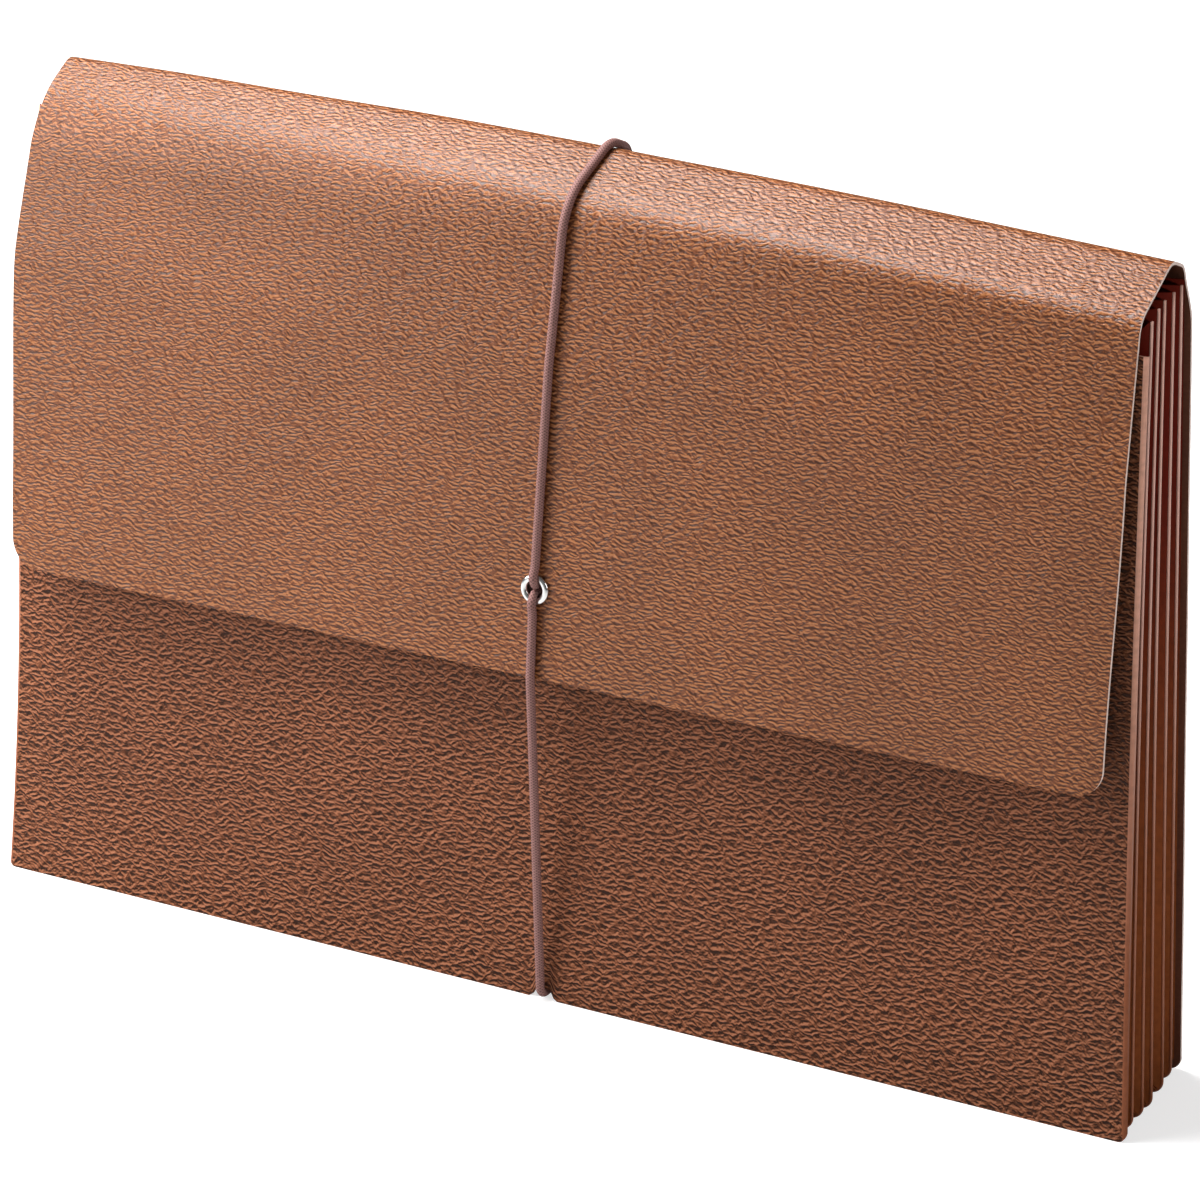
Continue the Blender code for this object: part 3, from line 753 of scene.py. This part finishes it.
def barMesh(name, line, girths, downs, sides, material):
    # the line gets a last point at each end that closes the bar
    s = barSettings
    first = line[0] + (line[0] - line[1]).normalized() * s["cap"]
    last = line[-1] + (line[-1] - line[-2]).normalized() * s["cap"]
    line = [first, *line, last]
    girths = [s["capRadius"], *girths, s["capRadius"]]
    downs = [downs[0], *downs, downs[-1]]
    mesh = bpy.data.meshes.new(name + "Line")
    mesh.from_pydata([racked(point) for point in line], [(k, k + 1) for k in range(len(line) - 1)], [])
    for key, values in (("girth", girths), ("down", downs)):
        mesh.attributes.new(key, "FLOAT", "POINT").data.foreach_set("value", values)
    item = bpy.data.objects.new(name, mesh)
    bpy.context.scene.collection.objects.link(item)
    modifier = item.modifiers.new("bar", "NODES")
    modifier.node_group = bars
    modifier[sidesKey] = sides + 1
    modifier[finishKey] = materials[material]
    shape = bpy.data.meshes.new_from_object(item.evaluated_get(bpy.context.evaluated_depsgraph_get()))
    item.modifiers.remove(modifier)
    item.data = shape
    shape.name = name
    bpy.data.meshes.remove(mesh)
    return item


foldSettings = {"radius": 0.00048, "corner": 0.004, "sides": 12, "dentHalf": 0.0020, "step": 0.004,
                "cornerSteps": 8, "count": 5}


def buildFold(number):
    # rolled outer fold between two pleats: down one side, under the bottom, up the other
    s = foldSettings
    node = f"pleat_fold_{number}"
    joint = f"right_turn_{2 * number:02d}"
    foot = jointPlace(joint)
    along = Vector(joints[joint]["axis"])
    along = along if along.z > 0.0 else -along
    floor = foot.z
    dent = notchTop + s["radius"]
    half = [(0.0, dent), (s["dentHalf"], dent), (s["dentHalf"] + dent - floor, floor)]
    half += [(x, floor) for x in evenMarks(half[-1][0], foot.x - s["corner"], s["step"])[1:-1]]
    for k in range(s["cornerSteps"] + 1):
        turn = k / s["cornerSteps"] * math.pi / 2.0
        inset, lift = (s["corner"] * (1.0 - share) for share in (math.sin(turn), math.cos(turn)))
        half.append((foot.x - inset, floor + lift))
    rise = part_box(node)[1].z + leafSettings["top"] - half[-1][1]
    steps = max(2, round(rise / s["step"]))
    half += [(foot.x, half[-1][1] + rise / steps * k) for k in range(1, steps + 1)]
    route = [(-x, height) for x, height in reversed(half[1:])] + half
    line = [Vector((x, foot.y + along.y / along.z * (height - floor), height)) for x, height in route]
    downs = [backHigh.z - point.z for point in line]
    girths = [s["radius"]] * len(line)
    fold = barMesh(node + "Roll", line, girths, downs, s["sides"], "foldPaper")
    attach(fold, node)
    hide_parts(node)


for number in range(1, foldSettings["count"] + 1):
    buildFold(number)
print("pleat folds made")

eyeletSettings = {
    "bore": 0.0026, "flange": 0.0047, "through": -0.0016, "seat": 0.0003, "dome": 0.0010, "domePower": 0.7,
    "washerBore": 0.0030, "washerSeat": 0.0002, "washerDome": 0.0007, "washerPower": 0.6,
    "segments": 64, "arc": 18}


def latheMesh(name, centre, out, profile):
    # metal ring: a profile of (radius, height) turned about the axis out
    segments = eyeletSettings["segments"]
    right = Vector((1.0, 0.0, 0.0))
    up = out.cross(right)
    points, places = [], []
    for radius, height in profile:
        for k in range(segments + 1):
            turn = 2.0 * math.pi * k / segments
            points.append(centre + out * height + (right * math.cos(turn) + up * math.sin(turn)) * radius)
            places.append((turn * radius, height))
    faces = gridFaces(len(profile), segments + 1, 0, False)
    return makeMesh(name, points, faces, places, ("eyeletMetal",), [0] * len(faces))


def domeProfile(bore, seat, dome, power):
    # rounded lip from the bore to the flange
    s = eyeletSettings
    middle, reach = midway(bore, s["flange"]), (s["flange"] - bore) / 2.0
    turns = [k / s["arc"] * math.pi for k in range(s["arc"] + 1)]
    base = halfThickness + seat
    return [(middle - reach * math.cos(turn), base + dome * math.sin(turn) ** power) for turn in turns]


def buildEyelet():
    s = eyeletSettings
    spot, along = cover.at(atEyelet)
    centre = solid(spot)
    out = solid(Vector((along.y, -along.x)))
    lip = domeProfile(s["bore"], s["seat"], s["dome"], s["domePower"])
    ring = latheMesh("eyeletRing", centre, out, [(s["bore"], s["through"])] + lip)
    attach(ring, "flap_front")
    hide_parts("eyelet")
    lip = domeProfile(s["washerBore"], s["washerSeat"], s["washerDome"], s["washerPower"])
    washer = latheMesh("washerRing", centre, -out, lip)
    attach(washer, "flap_front")
    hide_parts("eyelet_washer")


buildEyelet()
print("eyelet made")

cordSettings = {
    "radius": 0.00135, "throatRadius": 0.00118, "gap": 0.00005, "sides": 20, "step": 0.0006, "lean": 0.0055,
    "inside": -0.0020, "mouth": 0.0012, "rimAt": 0.0036, "flatAt": 0.0075, "rimSink": 0.0002,
    "flapEnd": 0.0002, "pivotPast": 0.0005, "frontSeam": 0.006, "thickens": (0.003, 0.008),
    "mouthBends": (0.0008, 0.0022, 0.006), "topBends": (0.06, 0.0185, 0.0085, 0.0052),
    "footBends": (0.0030, 0.0030), "flapEndBend": 0.02,
    "blends": {"cordFlap": 0.012, "cordShoulder": 0.008, "cordRidge": 0.0045, "cordTop": 0.004,
               "cordBack": 0.004, "cordBottom": 0.003, "cordFront": 0.003}}
cordLift = halfThickness + cordSettings["gap"] + cordSettings["radius"]


def outsideCorner(index):
    # corner of the cover's outline moved out to the middle of the cord
    before, corner, after = coverCorners[index - 1:index + 2]
    first, second = (corner - before).normalized(), (after - corner).normalized()
    outward = (Vector((first.y, -first.x)) + Vector((second.y, -second.x))).normalized()
    return corner + outward * cordLift / math.cos(first.angle(second) / 2.0)


def mouthPoints(side):
    # from inside the eyelet over its rim to the flap; side -1 goes up the flap, side 1 goes down
    s = cordSettings
    over = halfThickness + eyeletSettings["dome"] + eyeletSettings["seat"] + s["radius"] - s["rimSink"]
    steps = ((s["throatRadius"], s["inside"]), (s["throatRadius"], s["mouth"]), (s["rimAt"], over),
             (s["flatAt"], cordLift))
    return [cover.lifted(atEyelet + side * distance, height) for distance, height in steps]


def cordCorners():
    # out of the eyelet and up over the top, then under the bottom, then up the front into the eyelet
    floorLine = jointPlace("cord_bottom_turn").z
    upper = mouthPoints(-1.0)
    tops = [outsideCorner(index) for index in (4, 3, 2, 1)]
    feet = [Vector((y, floorLine)) for y in (foldPlaces[0].x + cordLift, frontFoot.x - cordLift)]
    lower = [cover.lifted(cover.length - cordSettings["flapEnd"], cordLift), *reversed(mouthPoints(1.0))]
    return upper, tops, feet, lower


def buildCord():
    # one elastic loop: out of the eyelet, up over the top, down the back, under the bottom and up the front
    s = cordSettings
    upper, tops, feet, lower = cordCorners()
    bends = [*s["mouthBends"], *s["topBends"], *s["footBends"], s["flapEndBend"], *reversed(s["mouthBends"])]
    route = Path(upper + tops + feet + lower, bends, s["step"])
    atTops = [route.nearest(place) for place in tops]
    atBack = route.nearest(flat(jointPlace("cord_back_turn")))
    atRear, atFront = (route.nearest(place) for place in feet)
    atPivot = route.length - (route.nearest(upper[-1]) + s["pivotPast"])
    stops = [*atTops, atBack, atRear]
    seams = [0.0, *(midway(*pair) for pair in zip(stops, stops[1:])), atFront + s["frontSeam"], route.length]

    def leanAt(mark):
        # the cord crosses the top a little to the right of the eyelet
        if mark < atTops[2]:
            return s["lean"] * mark / atTops[2]
        return s["lean"] * (1.0 - smoothStep(atTops[2], atBack, mark))

    def girthAt(mark):
        # thinner where both strands share the eyelet
        end = smoothStep(*s["thickens"], min(mark, route.length - mark))
        return s["throatRadius"] + (s["radius"] - s["throatRadius"]) * end

    # each piece, the two bodies it joins, the bend between them and the nodes it replaces
    pieces = (
        ("cordFlap", "flap_front", "flap_shoulder", atTops[0], ("cord_flap", "cord_throat")),
        ("cordShoulder", "flap_shoulder", "top_band_front", atTops[1], ("cord_shoulder",)),
        ("cordRidge", "top_band_front", "top_band_rear", atTops[2], ("cord_top_front", "cord_top_rear")),
        ("cordTop", "top_band_rear", "back_panel", atTops[3], ("cord_back_upper",)),
        ("cordBack", "back_panel", "cord_back_lower", atBack, ("cord_back_lower",)),
        ("cordBottom", "cord_back_lower", "cord_bottom", atRear, ("cord_bottom",)),
        ("cordFront", "cord_front", "flap_front", atPivot, ("cord_front",)),
    )
    for k, (name, first, second, fold, nodes) in enumerate(pieces):
        marks = evenMarks(seams[k], seams[k + 1], s["step"])
        line = [solid(route.at(mark)[0], leanAt(mark)) for mark in marks]
        girths = [girthAt(mark) for mark in marks]
        piece = barMesh(name, line, girths, marks, s["sides"], "cordBraid")
        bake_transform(piece)
        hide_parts(*nodes)


knotSettings = {"steps": 96, "ring": 0.62, "swing": 0.38, "around": 2.0, "through": 3.0}


def buildKnot():
    # overhand knot behind the washer that stops the two ends from pulling through
    s = knotSettings
    radius = cordSettings["throatRadius"]
    low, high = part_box("cord_knot")
    middle, size = midway(low, high), (high - low) / 2.0
    line = []
    for k in range(s["steps"] + 1):
        turn = k / s["steps"] * 2.0 * math.pi
        around, through = s["around"] * turn, s["through"] * turn
        ring = s["ring"] + s["swing"] * math.cos(through)
        spot = Vector((ring * math.cos(around), math.sin(through), ring * math.sin(around)))
        line.append(middle + Vector(a * (b - radius) for a, b in zip(spot, size)))
    downs = [index * cordSettings["step"] for index in range(len(line))]
    girths = [radius] * len(line)
    knot = barMesh("cordKnot", line, girths, downs, cordSettings["sides"], "cordBraid")
    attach(knot, "flap_front")
    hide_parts("cord_knot")


buildCord()
buildKnot()
print("cord made")

stageSettings = {"size": 12.0, "colour": (0.62, 0.62, 0.62, 1.0), "roughness": 0.9, "glow": 0.66}


def makeStage():
    # floor that is white where the camera sees it
    s = stageSettings
    half = s["size"] / 2.0
    corners = [(-half, -half, 0.0), (half, -half, 0.0), (half, half, 0.0), (-half, half, 0.0)]
    mesh = bpy.data.meshes.new("floor")
    mesh.from_pydata(corners, [], [(0, 1, 2, 3)])
    floor = bpy.data.objects.new("floor", mesh)
    bpy.context.scene.collection.objects.link(floor)
    g = Finish("floorPaper")
    seen = g.math("MULTIPLY", g.add("ShaderNodeLightPath").outputs["Is Camera Ray"], s["glow"])
    mesh.materials.append(g.finish(Base_Color=s["colour"], Roughness=s["roughness"], Emission_Color=white,
                                   Emission_Strength=seen))


lightSettings = {
    "overhead": {"place": (-0.62, -0.05, 1.42), "target": (0.0, -0.03, 0.25), "size": (1.0, 0.9),
                 "power": 46.0},
    "key": {"place": (-0.58, -0.44, 0.4), "target": (-0.1, 0.0, 0.13), "size": (0.35, 0.35), "power": 3.9},
    "side": {"place": (1.4, -0.2, 0.7), "target": (0.15, 0.0, 0.12), "size": (0.4, 0.8), "power": 4.0},
    "front": {"place": (0.2, -1.8, 0.7), "target": (0.0, 0.0, 0.1), "size": (1.4, 1.0), "power": 0.5},
}
worldLevel = 0.1


def makeLights():
    for name, s in lightSettings.items():
        data = bpy.data.lights.new(name, "AREA")
        data.shape = "RECTANGLE"
        data.size, data.size_y = s["size"]
        data.energy = s["power"]
        light = bpy.data.objects.new(name, data)
        light.location = s["place"]
        light.rotation_euler = (Vector(s["target"]) - light.location).to_track_quat("-Z", "Y").to_euler()
        bpy.context.scene.collection.objects.link(light)


def makeWorld():
    # white where the camera sees it, dim as a light
    world = bpy.data.worlds.new("studio")
    bpy.context.scene.world = world
    world.use_nodes = True
    g = NodeGraph(world.node_tree)
    back = g.nodes["Background"]
    seen = g.add("ShaderNodeLightPath").outputs["Is Camera Ray"]
    g.put(back.inputs["Color"], white)
    g.put(back.inputs["Strength"], g.math("MAXIMUM", seen, worldLevel))


cameraSettings = {"azimuth": 31.11, "elevation": 24.74, "roll": -1.40, "distance": 2.070, "lens": 210.0,
                  "sensor": 36.0, "clip": (0.05, 50.0), "target": (0.0081, 0.0, 0.1234)}


def makeCamera():
    s = cameraSettings
    azimuth, elevation, roll = (math.radians(s[key]) for key in ("azimuth", "elevation", "roll"))
    back = Vector((math.sin(azimuth) * math.cos(elevation), -math.cos(azimuth) * math.cos(elevation),
                   math.sin(elevation)))
    data = bpy.data.cameras.new("camera")
    data.sensor_width = s["sensor"]
    data.lens = s["lens"]
    data.clip_start, data.clip_end = s["clip"]
    camera = bpy.data.objects.new("camera", data)
    turn = (-back).to_track_quat("-Z", "Y").to_matrix() @ Matrix.Rotation(roll, 3, "Z")
    camera.matrix_world = Matrix.Translation(Vector(s["target"]) + back * s["distance"]) @ turn.to_4x4()
    bpy.context.scene.collection.objects.link(camera)
    bpy.context.scene.camera = camera


makeStage()
makeLights()
makeWorld()
makeCamera()
bpy.context.scene.view_settings.view_transform = "Standard"
print("stage, lights and camera made")
